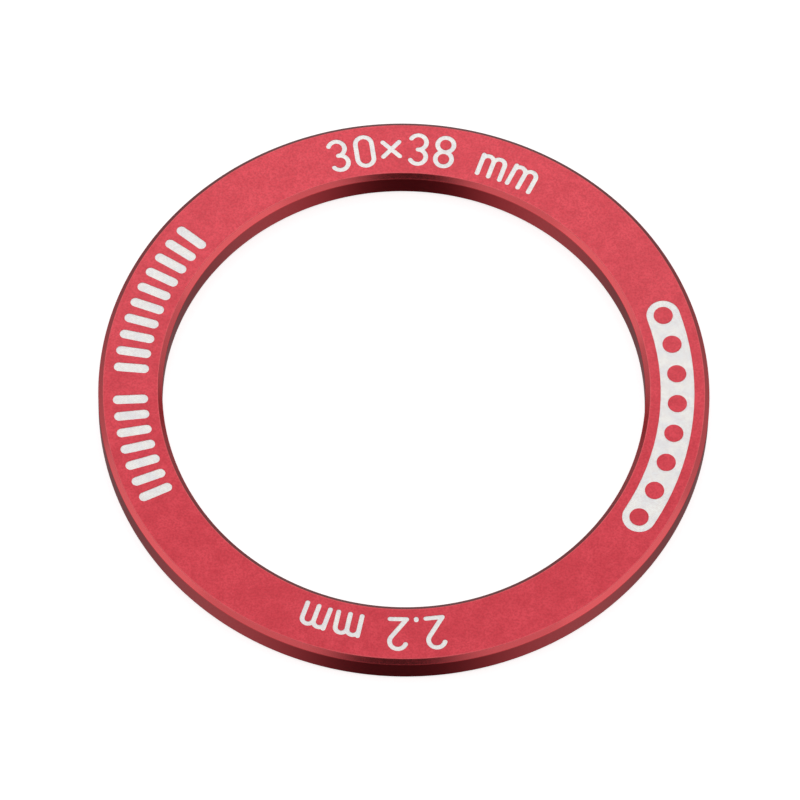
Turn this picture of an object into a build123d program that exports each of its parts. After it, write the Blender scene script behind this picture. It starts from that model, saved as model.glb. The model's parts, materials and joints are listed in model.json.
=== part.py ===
from build123d import *

import os
from math import atan2, degrees

# A spacer ring for a bicycle bottom bracket: one turned and anodised aluminium ring that slides over
# the crank spindle and fills the gap between a bearing and the crank arm. It is a single piece.
# The ring lies on its bearing face at z = 0, its axis is +Z, and the face towards the crank arm, on
# top, carries laser-etched marks. All sizes are in millimetres and all angles in degrees.

# Driving dimensions of the ring
spindle_diameter = 30.0
spindle_clearance = 0.05  # on the radius, so that the ring slides on by hand
ring_wall = 4.0  # from the bore to the rim
thickness = 2.2
edge_chamfer = 0.3  # 45 degree break on all four edges

# Driving dimensions of the etched marks, whose lengths are measured round the middle of the face
mark_depth = 0.03  # just through the coloured anodic layer
line_width = 0.3  # the engraver's single line
figure_height = 2.35
character_gap = 0.36
space_width = 0.6
bar_height = 2.2
bar_width = 0.62
bar_gap = 0.5
bar_groups = (7, 10)
group_gap = 1.1
band_length = 16.8
band_height = 2.1
dot_count = 8
dot_diameter = 1.2

# Where the middle of each mark is, as an angle round the ring from +X
size_mark_angle = 90
bar_mark_angle = 180
thickness_mark_angle = 270
band_mark_angle = 0

# Radii that follow from the driving dimensions
bore_radius = spindle_diameter / 2 + spindle_clearance
rim_radius = bore_radius + ring_wall
mark_radius = (bore_radius + rim_radius) / 2


def arc_angle(length):
    """The angle that an arc of this length spans round the middle of the face."""
    return degrees(length / mark_radius)


# The engraver's characters are single lines, drawn round the middle of the character. A figure is two
# round bowls high and one bowl wide, so everything in it is a multiple of the bowl's radius.
bowl = (figure_height - line_width) / 4
top = 2 * bowl
foot = -2 * bowl
tangent = degrees(atan2(-3, 4))  # where a line from a figure's lower left corner touches its upper bowl
arch = 0.72 * bowl  # the radius of both arches of the letter m


def arc(x, y, radius, start, sweep):
    """An arc whose centre is at x, y, from one angle on through the sweep."""
    return CenterArc((x, y), radius, start, sweep)


def half_of_nought(side):
    """The right (1) or left (-1) half of a nought, with a straight side between two quarter turns."""
    upper = arc(0, bowl, bowl, 90, -90 * side)
    lower = arc(0, -bowl, bowl, 90 - 90 * side, -90 * side)
    return Wire([upper, Line(upper @ 1, lower @ 0), lower])


def arch_of_m(middle):
    """An arch of the letter m, and the leg that it runs down into."""
    crown = arc(middle, 0, arch, 180, -180)
    return Wire([crown, Line(crown @ 1, (middle + arch, foot))])


upper_ring = [arc(0, bowl, bowl, start, 180) for start in (tangent, tangent + 180)]
lower_ring = [arc(0, -bowl, bowl, start, 180) for start in (tangent, tangent + 180)]
upper_hook = arc(0, bowl, bowl, 160, tangent - 160)
open_bowl = arc(0, -bowl, bowl, 130, -270)

# Each character's strokes
characters = {
    "0": [half_of_nought(1), half_of_nought(-1)],
    "1": [Line((0, foot), (0, top)), Line((0, top), (-0.8 * bowl, 1.2 * bowl))],
    "2": [upper_hook, Line(upper_hook @ 1, (-bowl, foot)), Line((-bowl, foot), (bowl, foot))],
    "3": [arc(0, bowl, bowl, 150, -240), arc(0, -bowl, bowl, 90, -240)],
    "4": [
        Line((0.4 * bowl, foot), (0.4 * bowl, top)),
        Line((0.4 * bowl, top), (-bowl, -0.8 * bowl)),
        Line((-bowl, -0.8 * bowl), (bowl, -0.8 * bowl)),
    ],
    "5": [open_bowl, Line(open_bowl @ 0, (-0.7 * bowl, top)), Line((-0.7 * bowl, top), (bowl, top))],
    "6": lower_ring + [Line(lower_ring[1] @ 0, (bowl, top))],
    "7": [Line((-bowl, top), (bowl, top)), Line((bowl, top), (-0.4 * bowl, foot))],
    "8": upper_ring + lower_ring,
    "9": upper_ring + [Line(upper_ring[0] @ 0, (-bowl, foot))],
    "x": [Line((-bowl, side * bowl), (bowl, -side * bowl)) for side in (1, -1)],
    ".": [Line((0, foot), (0, foot + line_width / 4))],
    "m": [Line((-2 * arch, foot), (-2 * arch, arch)), arch_of_m(-arch), arch_of_m(arch)],
    " ": [],
}

# The width of each character's centre lines, where it isn't one bowl
widths = {".": 0, "m": 4 * arch, " ": space_width}


def lettering(text, middle_angle):
    """Engraves a text clockwise round the face, with the tops of its characters outwards."""
    lengths = [widths.get(character, 2 * bowl) + line_width for character in text]
    start = -(sum(lengths) + character_gap * (len(text) - 1)) / 2
    for character, length in zip(text, lengths):
        with PolarLocations(mark_radius, 1, middle_angle - arc_angle(start + length / 2)):
            for stroke in characters[character]:
                SlotArc(stroke, line_width, rotation=-90)
        start += length + character_gap


def bars(middle_angle):
    """Groups of upright bars with round ends, clockwise round the face."""
    pitch = bar_width + bar_gap
    length = sum(bar_groups) * pitch - bar_gap + group_gap * (len(bar_groups) - 1)
    start = (bar_width - length) / 2
    for count in bar_groups:
        for index in range(count):
            with PolarLocations(mark_radius, 1, middle_angle - arc_angle(start + index * pitch)):
                SlotOverall(bar_height, bar_width)
        start += count * pitch + group_gap


def dotted_band(middle_angle):
    """A long bar with round ends, bent round the middle of the face, with a row of dots left in it."""
    span = arc_angle(band_length - band_height)
    SlotArc(CenterArc((0, 0), mark_radius, middle_angle - span / 2, span), band_height)
    with PolarLocations(mark_radius, dot_count, middle_angle - span / 2, span, endpoint=True):
        Circle(dot_diameter / 2, mode=Mode.SUBTRACT)


with BuildSketch(Plane.XY.offset(thickness)) as marks:
    lettering(f"{spindle_diameter:.0f}x{2 * rim_radius:.0f} mm", size_mark_angle)
    lettering(f"{thickness:.1f} mm", thickness_mark_angle)
    bars(bar_mark_angle)
    dotted_band(band_mark_angle)

with BuildPart() as spacer_ring:
    with BuildSketch():
        Circle(rim_radius)
        Circle(bore_radius, mode=Mode.SUBTRACT)
    extrude(amount=thickness)
    chamfer(spacer_ring.edges().filter_by(GeomType.CIRCLE), edge_chamfer)
    extrude(marks.sketch, amount=-mark_depth, mode=Mode.SUBTRACT)

spacer_ring.part.label = "spacer_ring"
os.makedirs("parts", exist_ok=True)
export_step(spacer_ring.part, "parts/spacer_ring.step")
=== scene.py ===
import json
from math import cos, radians, sin

import bpy
import numpy as np
from mathutils import Matrix, Vector


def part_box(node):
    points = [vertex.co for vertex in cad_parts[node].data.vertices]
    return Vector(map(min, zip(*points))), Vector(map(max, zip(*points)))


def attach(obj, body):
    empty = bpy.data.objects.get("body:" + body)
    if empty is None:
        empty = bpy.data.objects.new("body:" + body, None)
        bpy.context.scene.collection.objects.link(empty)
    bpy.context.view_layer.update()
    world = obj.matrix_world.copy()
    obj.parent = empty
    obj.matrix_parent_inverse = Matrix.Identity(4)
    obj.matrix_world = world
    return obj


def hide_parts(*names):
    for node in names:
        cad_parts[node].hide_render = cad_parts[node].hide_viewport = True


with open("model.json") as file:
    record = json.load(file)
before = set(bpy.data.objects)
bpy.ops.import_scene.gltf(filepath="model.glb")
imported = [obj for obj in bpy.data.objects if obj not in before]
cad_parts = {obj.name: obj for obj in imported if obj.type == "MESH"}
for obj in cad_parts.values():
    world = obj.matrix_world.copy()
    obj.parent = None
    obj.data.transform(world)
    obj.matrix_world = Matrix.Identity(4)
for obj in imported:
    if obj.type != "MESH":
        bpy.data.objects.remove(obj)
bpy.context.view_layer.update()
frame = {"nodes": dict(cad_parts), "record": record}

# A spacer ring: one flat aluminium ring, bead blasted and anodised red, with laser-etched marks on its
# upper face. Lengths are in metres and +Z is the ring's axis.

MM = 0.001

# Sizes of the ring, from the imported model
cad_ring = frame["nodes"]["spacer_ring"]
bore_mount = next(mount for mount in frame["record"]["mounts"] if mount["name"] == "spindle_bore")
bore_radius = bore_mount["dims"]["r_mm"] * MM
straight_wall = bore_mount["dims"]["length_mm"] * MM
ring_low, ring_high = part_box("spacer_ring")
rim_radius = max(ring_high.x, ring_high.y)
thickness = ring_high.z - ring_low.z
chamfer = (thickness - straight_wall) / 2

# How finely the visible ring is made
SECTORS = 480
EDGE_ROUND = 0.045 * MM  # radius left on each edge by the blasting
EDGE_STEPS = 5
EDGE_SUPPORT = 0.02 * MM  # from a rounded edge to the loop that keeps the flat beside it flat
CUT_ABOVE = 0.1 * MM  # how far the pockets' cutter stands above the face
MARK_BASE = 0.02 * MM  # how far the etched metal reaches below the floors of its pockets
MARK_RISE = 0.003 * MM  # and above them

# The camera looks down at the ring from a long way off
CAMERA_AZIMUTH = radians(5.3)
CAMERA_ELEVATION = radians(62.4)
CAMERA_ROLL = radians(1.47)
CAMERA_DISTANCE = 0.76
CAMERA_LENS = 549  # this and the sensor's width are in millimetres
SENSOR_WIDTH = 36
AIM_OFFSET = (-0.25 * MM, -0.69 * MM)  # from the middle of the upper face, across and up the view

# The pale tent round the ring, as brightness and as directions on a sphere
TENT_ABOVE = 0.87
TENT_BELOW = 0.5
TENT_BELOW_BEYOND = 0.2  # below and beyond the ring, where its own shadow lies
GAP_DARKEST = 0.08  # what is left of that brightness in the gap in front
GAP_CORE = sin(radians(6))  # half the gap's width, where it is darkest
GAP_EDGE = sin(radians(26))  # and where it has faded out
GAP_TOP = (sin(radians(33)), sin(radians(52)))  # how high up it starts to fade, and is gone

FLOOR_HALF = 3.0  # half the floor's side

# Each soft light's name, place, size and power
SOFTBOXES = [
    ("key", (-0.012, 0.1, 0.12), 0.07, 0.0135),
    ("left_fill", (-0.4, -0.1, 0.15), 0.35, 0.1),
    ("right_fill", (0.4, -0.1, 0.15), 0.35, 0.1),
]


# Meshes


def mesh_object(name, points, faces, material):
    """A mesh object at the origin from points and faces, in one material."""
    mesh = bpy.data.meshes.new(name)
    mesh.from_pydata(points.tolist(), [], faces.tolist())
    mesh.materials.append(material)
    made = bpy.data.objects.new(name, mesh)
    bpy.context.scene.collection.objects.link(made)
    return made


def rounded_outline(corners, radius, steps, support):
    """A closed outline with its corners rounded, as an array of points.

    At a corner where the outline turns by the angle t, the arc starts radius * tan(t / 2) before the
    corner, and its centre is one radius to the left of its start. Each arc has a support point before
    and after it, so that smooth shading bends only at the edge.
    """
    ahead = np.roll(corners, -1, axis=0) - corners
    ahead /= np.linalg.norm(ahead, axis=1, keepdims=True)
    behind = np.roll(ahead, 1, axis=0)
    heading = np.arctan2(behind[:, 1], behind[:, 0])
    turn = np.arccos(np.clip((ahead * behind).sum(axis=1), -1, 1))
    tangent = (radius * np.tan(turn / 2))[:, None]
    start = corners - behind * tangent
    left = np.stack([-behind[:, 1], behind[:, 0]], axis=1)
    centre = start + left * radius
    angle = (heading - np.pi / 2)[:, None] + turn[:, None] * np.linspace(0, 1, steps + 1)
    arc = centre[:, None] + radius * np.stack([np.cos(angle), np.sin(angle)], axis=2)
    before = (start - behind * support)[:, None]
    after = (corners + ahead * (tangent + support))[:, None]
    return np.concatenate([before, arc, after], axis=1).reshape(-1, 2)


def turned(outline, sectors):
    """Points and faces of an outline of radii and heights carried once round the Z axis.

    The point of outline entry (r, z) at the angle a is (r cos a, r sin a, z).
    """
    angle = np.linspace(0, 2 * np.pi, sectors, endpoint=False)[:, None]
    radius, height = outline[:, 0], outline[:, 1]
    level = np.broadcast_to(height, (sectors, len(outline)))
    points = np.stack([radius * np.cos(angle), radius * np.sin(angle), level], axis=2).reshape(-1, 3)
    index = np.arange(sectors * len(outline)).reshape(sectors, len(outline))
    beside = np.roll(index, -1, axis=0)
    quads = [index, beside, np.roll(beside, -1, axis=1), np.roll(index, -1, axis=1)]
    return points, np.stack(quads, axis=2).reshape(-1, 4)


def pocket_floors(cad_object, top):
    """The floors of the pockets below a face at height top: merged points, triangles and their height."""
    mesh = cad_object.data
    corner = np.empty(len(mesh.loops), int)
    mesh.loops.foreach_get("vertex_index", corner)
    place = np.empty(len(mesh.vertices) * 3)
    mesh.vertices.foreach_get("co", place)
    facing = np.empty(len(mesh.polygons) * 3)
    mesh.polygons.foreach_get("normal", facing)
    triangles = place.reshape(-1, 3)[corner].reshape(-1, 3, 3)
    height = triangles[:, :, 2].mean(axis=1)
    is_floor = (facing.reshape(-1, 3)[:, 2] > 0.99) & (height > top / 2) & (height < top - 0.001 * MM)
    floors = triangles[is_floor]
    flat_places = np.round(floors[:, :, :2].reshape(-1, 2) / MM, 5)
    points, merged = np.unique(flat_places, axis=0, return_inverse=True)
    return points * MM, merged.reshape(-1, 3), floors[:, :, 2].mean()


def plates(points, triangles, low, high):
    """Closed plates between two heights, whose plan is flat triangles.

    An edge that only one triangle has is on a plate's border, and gets a wall.
    """
    count = len(points)
    lower = np.column_stack([points, np.full(count, low)])
    upper = np.column_stack([points, np.full(count, high)])
    edges = np.concatenate([triangles[:, [0, 1]], triangles[:, [1, 2]], triangles[:, [2, 0]]])
    keys = np.sort(edges, axis=1)
    _, which, times = np.unique(keys, axis=0, return_inverse=True, return_counts=True)
    border = edges[times[which.reshape(-1)] == 1]
    first, second = border[:, 0], border[:, 1]
    walls = np.concatenate([
        np.stack([first, second, second + count], axis=1),
        np.stack([first, second + count, first + count], axis=1),
    ])
    faces = np.concatenate([triangles[:, ::-1], triangles + count, walls])
    return np.concatenate([lower, upper]), faces


def cut_away(piece, cutter):
    """Takes the cutter's volume out of the piece, for good, and removes the cutter."""
    cut = piece.modifiers.new("cut", "BOOLEAN")
    cut.operation = "DIFFERENCE"
    cut.solver = "EXACT"
    cut.object = cutter
    shown = piece.evaluated_get(bpy.context.evaluated_depsgraph_get())
    piece.data = bpy.data.meshes.new_from_object(shown)
    piece.modifiers.clear()
    bpy.data.objects.remove(cutter)


def shade(piece, sharpest):
    """Smooth shading, with a crease where faces meet at more than the given angle."""
    piece.data.shade_smooth()
    piece.data.set_sharp_from_angle(angle=sharpest)


# Materials


def add(tree, kind, inputs=None, **settings):
    """Adds a node with its settings, and gives each named input a value or a link."""
    made = tree.nodes.new(kind)
    for name, value in settings.items():
        setattr(made, name, value)
    for name, value in (inputs or {}).items():
        if isinstance(value, bpy.types.NodeSocket):
            tree.links.new(value, made.inputs[name])
        else:
            made.inputs[name].default_value = value
    return made


def maths(tree, operation, *values):
    """The result of a Math node on one to three values."""
    return add(tree, "ShaderNodeMath", dict(enumerate(values)), operation=operation).outputs[0]


def between(tree, value, start, end, low=0.0, high=1.0):
    """Takes a value from low to high as it goes from start to end, with a soft step."""
    inputs = {"Value": value, "From Min": start, "From Max": end, "To Min": low, "To Max": high}
    return add(tree, "ShaderNodeMapRange", inputs, interpolation_type="SMOOTHSTEP").outputs["Result"]


def new_group(name, inputs, outputs):
    """An empty node group with the given inputs and outputs, all of them plain values."""
    tree = bpy.data.node_groups.new(name, "ShaderNodeTree")
    for socket in inputs:
        tree.interface.new_socket(socket, in_out="INPUT", socket_type="NodeSocketFloat")
    for socket in outputs:
        tree.interface.new_socket(socket, in_out="OUTPUT", socket_type="NodeSocketFloat")
    return tree, tree.nodes.new("NodeGroupInput").outputs, tree.nodes.new("NodeGroupOutput").inputs


def ring_zones():
    """Where a point is on the ring: on its walls, on its chamfers, or close to an edge between them."""
    tree, _, out = new_group("ring_zones", [], ["Wall", "Chamfer", "Edge"])
    place = add(tree, "ShaderNodeTexCoord").outputs["Object"]
    split = add(tree, "ShaderNodeSeparateXYZ", {0: place}).outputs
    squared = maths(tree, "MULTIPLY_ADD", split[0], split[0], maths(tree, "POWER", split[1], 2))
    radius = maths(tree, "SQRT", squared)
    from_rim = maths(tree, "SUBTRACT", rim_radius, radius)
    from_wall = maths(tree, "MINIMUM", from_rim, maths(tree, "SUBTRACT", radius, bore_radius))
    from_face = maths(tree, "MINIMUM", split[2], maths(tree, "SUBTRACT", thickness, split[2]))
    soft = 0.04 * MM
    wall = between(tree, from_wall, soft / 2, soft, 1, 0)
    face = between(tree, from_face, soft / 2, soft, 1, 0)
    chamfered = maths(tree, "SUBTRACT", maths(tree, "SUBTRACT", 1, wall), face)
    from_edge = maths(tree, "SUBTRACT", maths(tree, "MAXIMUM", from_wall, from_face), chamfer)
    edge = between(tree, maths(tree, "ABSOLUTE", from_edge), 0, 0.07 * MM, 1, 0)
    for name, value in {"Wall": wall, "Chamfer": chamfered, "Edge": edge}.items():
        tree.links.new(value, out[name])
    return tree


def blasted_grain():
    """The fine pits of bead blasting, as a height and as a slow drift in shade."""
    tree, given, out = new_group("blasted_grain", ["Pit Size", "Drift Size"], ["Height", "Fleck", "Drift"])
    place = add(tree, "ShaderNodeTexCoord").outputs["Object"]
    pit_scale = maths(tree, "DIVIDE", 1, given["Pit Size"])
    pit_inputs = {"Vector": place, "Scale": pit_scale, "Detail": 3, "Roughness": 0.6}
    pits = add(tree, "ShaderNodeTexNoise", pit_inputs)
    drift_scale = maths(tree, "DIVIDE", 1, given["Drift Size"])
    drift_inputs = {"Vector": place, "Scale": drift_scale, "Detail": 2, "Roughness": 0.5}
    drift = add(tree, "ShaderNodeTexNoise", drift_inputs)
    tree.links.new(pits.outputs[0], out["Height"])
    tree.links.new(between(tree, pits.outputs[0], 0.35, 0.68), out["Fleck"])
    tree.links.new(between(tree, drift.outputs[0], 0.3, 0.7), out["Drift"])
    return tree


def turned_lines():
    """Fine tool marks that run round the ring, as a height."""
    tree, given, out = new_group("turned_lines", ["Pitch"], ["Height"])
    place = add(tree, "ShaderNodeTexCoord").outputs["Object"]
    split = add(tree, "ShaderNodeSeparateXYZ", {0: place}).outputs
    steps = maths(tree, "DIVIDE", split[2], given["Pitch"])
    lines = add(tree, "ShaderNodeTexNoise", {"W": steps, "Scale": 1, "Detail": 3}, noise_dimensions="1D")
    tree.links.new(lines.outputs[0], out["Height"])
    return tree


def laser_passes():
    """The gaps between a laser's straight passes, which wander a little."""
    tree, given, out = new_group("laser_passes", ["Pitch", "Slant"], ["Gap"])
    place = add(tree, "ShaderNodeTexCoord").outputs["Object"]
    split = add(tree, "ShaderNodeSeparateXYZ", {0: place}).outputs
    wave_inputs = {"Vector": place, "Scale": 1 / (0.6 * MM), "Detail": 1}
    waves = add(tree, "ShaderNodeTexNoise", wave_inputs).outputs[0]
    across = maths(tree, "MULTIPLY_ADD", split[0], given["Slant"], split[1])
    turns = maths(tree, "ADD", maths(tree, "DIVIDE", across, given["Pitch"]), waves)
    tree.links.new(between(tree, maths(tree, "PINGPONG", turns, 0.5), 0.16, 0.0), out["Gap"])
    return tree


GROUPS = {build.__name__: build() for build in (ring_zones, blasted_grain, turned_lines, laser_passes)}


def use(tree, group, **inputs):
    """Places one of the shared effects in a material, and gives back its outputs."""
    named = {name.replace("_", " "): value for name, value in inputs.items()}
    return add(tree, "ShaderNodeGroup", named, node_tree=GROUPS[group]).outputs


def mixed(tree, share, first, second):
    """A colour that goes from the first to the second as the share goes from 0 to 1."""
    inputs = {"Factor": share, "A": first, "B": second}
    made = add(tree, "ShaderNodeMix", data_type="RGBA")
    for name, value in inputs.items():
        socket = next(s for s in made.inputs if s.name == name and s.enabled)
        if isinstance(value, bpy.types.NodeSocket):
            tree.links.new(value, socket)
        else:
            socket.default_value = value
    return next(s for s in made.outputs if s.enabled)


def new_material(name, **constants):
    """A material with a Principled shader and the constants set on it."""
    material = bpy.data.materials.new(name)
    material.use_nodes = True
    shader = material.node_tree.nodes["Principled BSDF"]
    for socket, value in constants.items():
        shader.inputs[socket.replace("_", " ")].default_value = value
    return material, material.node_tree, shader.inputs


def red_anodised():
    """Dyed anodising over bead-blasted aluminium: satin faces, and smoother chamfers and walls."""
    material, tree, shader = new_material("red_anodised", Metallic=1.0, Coat_Roughness=0.14, Coat_IOR=1.6)
    zones = use(tree, "ring_zones")
    grain = use(tree, "blasted_grain", Pit_Size=0.12 * MM, Drift_Size=0.9 * MM)
    lines = use(tree, "turned_lines", Pitch=0.05 * MM)
    face = mixed(tree, grain["Drift"], (0.58, 0.040, 0.060, 1), (0.65, 0.053, 0.076, 1))
    face = mixed(tree, maths(tree, "MULTIPLY", grain["Fleck"], 0.55), face, (0.45, 0.022, 0.038, 1))
    red = mixed(tree, zones["Chamfer"], face, (0.63, 0.046, 0.058, 1))
    red = mixed(tree, zones["Wall"], red, (0.60, 0.014, 0.026, 1))
    # Lighter, pinker colour close to the edges: partly dye worn thin there, partly a painted highlight
    # along each edge
    worn_edge_and_highlight = mixed(tree, maths(tree, "MULTIPLY", zones["Edge"], 0.45), red, (0.78, 0.14, 0.15, 1))
    tree.links.new(worn_edge_and_highlight, shader["Base Color"])
    rough = maths(tree, "MULTIPLY_ADD", grain["Fleck"], 0.08, 0.42)
    rough = maths(tree, "MULTIPLY_ADD", zones["Chamfer"], -0.26, rough)
    rough = maths(tree, "MULTIPLY_ADD", zones["Wall"], -0.14, rough)
    tree.links.new(rough, shader["Roughness"])
    clear = maths(tree, "MULTIPLY_ADD", zones["Chamfer"], 0.5, 0.4)
    clear = maths(tree, "MULTIPLY_ADD", zones["Wall"], -0.3, clear)
    tree.links.new(clear, shader["Coat Weight"])
    blasted = maths(tree, "SUBTRACT", 1, maths(tree, "MULTIPLY_ADD", zones["Chamfer"], 0.75, zones["Wall"]))
    pits = maths(tree, "MULTIPLY", grain["Height"], blasted)
    turning = maths(tree, "MULTIPLY", lines["Height"], zones["Wall"])
    height = maths(tree, "MULTIPLY_ADD", turning, 0.6, pits)
    bump = add(tree, "ShaderNodeBump", {"Strength": 0.5, "Distance": 0.006 * MM, "Height": height})
    tree.links.new(bump.outputs["Normal"], shader["Normal"])
    return material


def etched_metal():
    """Pale metal where a laser has burned off the dye, in close straight passes."""
    material, tree, shader = new_material("etched_metal", Metallic=1.0)
    grain = use(tree, "blasted_grain", Pit_Size=0.1 * MM, Drift_Size=0.7 * MM)
    passes = use(tree, "laser_passes", Pitch=0.13 * MM, Slant=0.6)
    pale = mixed(tree, grain["Drift"], (0.83, 0.84, 0.81, 1), (0.75, 0.77, 0.78, 1))
    tinted = mixed(tree, maths(tree, "MULTIPLY", grain["Fleck"], 0.35), pale, (0.70, 0.60, 0.58, 1))
    struck = mixed(tree, maths(tree, "MULTIPLY", passes["Gap"], 0.35), tinted, (0.72, 0.48, 0.46, 1))
    tree.links.new(struck, shader["Base Color"])
    tree.links.new(maths(tree, "MULTIPLY_ADD", grain["Fleck"], 0.1, 0.48), shader["Roughness"])
    height = maths(tree, "MULTIPLY_ADD", passes["Gap"], 0.6, grain["Height"])
    bump = add(tree, "ShaderNodeBump", {"Strength": 0.4, "Distance": 0.004 * MM, "Height": height})
    tree.links.new(bump.outputs["Normal"], shader["Normal"])
    return material


# The object

red = red_anodised()
pale = etched_metal()
section = np.array([
    (bore_radius + chamfer, 0),
    (rim_radius - chamfer, 0),
    (rim_radius, chamfer),
    (rim_radius, thickness - chamfer),
    (rim_radius - chamfer, thickness),
    (bore_radius + chamfer, thickness),
    (bore_radius, thickness - chamfer),
    (bore_radius, chamfer),
])
outline = rounded_outline(section, EDGE_ROUND, EDGE_STEPS, EDGE_SUPPORT)
ring = mesh_object("ring_body", *turned(outline, SECTORS), red)
floor_points, floor_triangles, floor_height = pocket_floors(cad_ring, thickness)
above_face = thickness + CUT_ABOVE
cutter = mesh_object("cutter", *plates(floor_points, floor_triangles, floor_height, above_face), red)
cut_away(ring, cutter)
shade(ring, radians(30))
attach(ring, "root")
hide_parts("spacer_ring")

marks = mesh_object(
    "etched_marks",
    *plates(floor_points, floor_triangles, floor_height - MARK_BASE, floor_height + MARK_RISE),
    pale,
)
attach(marks, "root")


# The studio


def new_floor():
    """A plain pale floor that the ring lies on, lit a little from within so that its shadow is faint."""
    material, tree, shader = new_material("pale_floor", Roughness=1.0, Emission_Strength=0.72)
    shader["Base Color"].default_value = (0.5, 0.5, 0.5, 1)
    shader["Emission Color"].default_value = (1, 1, 1, 1)
    shader["Specular IOR Level"].default_value = 0
    half = FLOOR_HALF
    corners = np.array([(-half, -half, 0), (half, -half, 0), (half, half, 0), (-half, half, 0)])
    floor = mesh_object("floor", corners, np.array([(0, 1, 2, 3)]), material)
    floor.visible_glossy = False
    floor.visible_diffuse = False


def new_softbox(name, place, size, power):
    """A square soft light that faces the ring."""
    light = bpy.data.lights.new(name, "AREA")
    light.shape = "SQUARE"
    light.size = size
    light.energy = power
    made = bpy.data.objects.new(name, light)
    made.location = place
    made.rotation_euler = (-Vector(place)).to_track_quat("-Z", "Y").to_euler()
    made.visible_camera = False
    bpy.context.scene.collection.objects.link(made)


def new_surroundings():
    """A pale tent, dimmer below, with a dark upright gap in front, round the camera.

    A direction's brightness rises round the horizon to TENT_ABOVE, from TENT_BELOW on the camera's side
    and from TENT_BELOW_BEYOND on the far side. The gap is dark where the direction is close to the
    upright plane through the camera, and not high or behind.
    """
    world = bpy.data.worlds.new("studio")
    bpy.context.scene.world = world
    world.use_nodes = True
    tree = world.node_tree
    tree.nodes.clear()
    way = add(tree, "ShaderNodeTexCoord").outputs["Generated"]
    up = add(tree, "ShaderNodeSeparateXYZ", {0: way}).outputs[2]
    forwards = along(tree, way, view_back(CAMERA_AZIMUTH, 0))
    below = between(tree, forwards, 0.2, -0.25, TENT_BELOW, TENT_BELOW_BEYOND)
    tent = between(tree, up, -0.35, 0.35, below, TENT_ABOVE)
    tent = maths(tree, "ADD", tent, between(tree, up, 0.3, 1, 0, 0.1))
    sideways = maths(tree, "ABSOLUTE", along(tree, way, (cos(CAMERA_AZIMUTH), sin(CAMERA_AZIMUTH), 0)))
    lit = between(tree, sideways, GAP_CORE, GAP_EDGE, GAP_DARKEST, 1)
    lit = maths(tree, "MAXIMUM", lit, between(tree, up, *GAP_TOP))
    lit = maths(tree, "MAXIMUM", lit, between(tree, forwards, 0.1, -0.2))
    seen = add(tree, "ShaderNodeLightPath").outputs["Is Camera Ray"]
    strength = maths(tree, "MAXIMUM", seen, maths(tree, "MULTIPLY", tent, lit))
    light = add(tree, "ShaderNodeBackground", {"Color": (1, 1, 1, 1), "Strength": strength})
    out = add(tree, "ShaderNodeOutputWorld")
    tree.links.new(light.outputs[0], out.inputs["Surface"])


def along(tree, way, direction):
    """How far a direction goes along another."""
    inputs = {0: way, 1: direction}
    return add(tree, "ShaderNodeVectorMath", inputs, operation="DOT_PRODUCT").outputs["Value"]


def view_back(azimuth, elevation):
    """The unit vector from the ring back to a viewer at this azimuth and elevation."""
    return Vector((sin(azimuth) * cos(elevation), -cos(azimuth) * cos(elevation), sin(elevation)))


def new_camera():
    """A camera that looks at the upper face, turned a little about its own line of sight."""
    camera = bpy.data.cameras.new("camera")
    camera.lens = CAMERA_LENS
    camera.sensor_width = SENSOR_WIDTH
    made = bpy.data.objects.new("camera", camera)
    bpy.context.scene.collection.objects.link(made)
    back = view_back(CAMERA_AZIMUTH, CAMERA_ELEVATION)
    turn = back.to_track_quat("Z", "Y").to_matrix() @ Matrix.Rotation(CAMERA_ROLL, 3, "Z")
    aim = Vector((0, 0, thickness)) + turn @ Vector((*AIM_OFFSET, 0))
    made.matrix_world = Matrix.LocRotScale(aim + back * CAMERA_DISTANCE, turn, None)
    bpy.context.scene.camera = made


new_floor()
for softbox in SOFTBOXES:
    new_softbox(*softbox)
new_surroundings()
new_camera()
bpy.context.scene.view_settings.view_transform = "Standard"
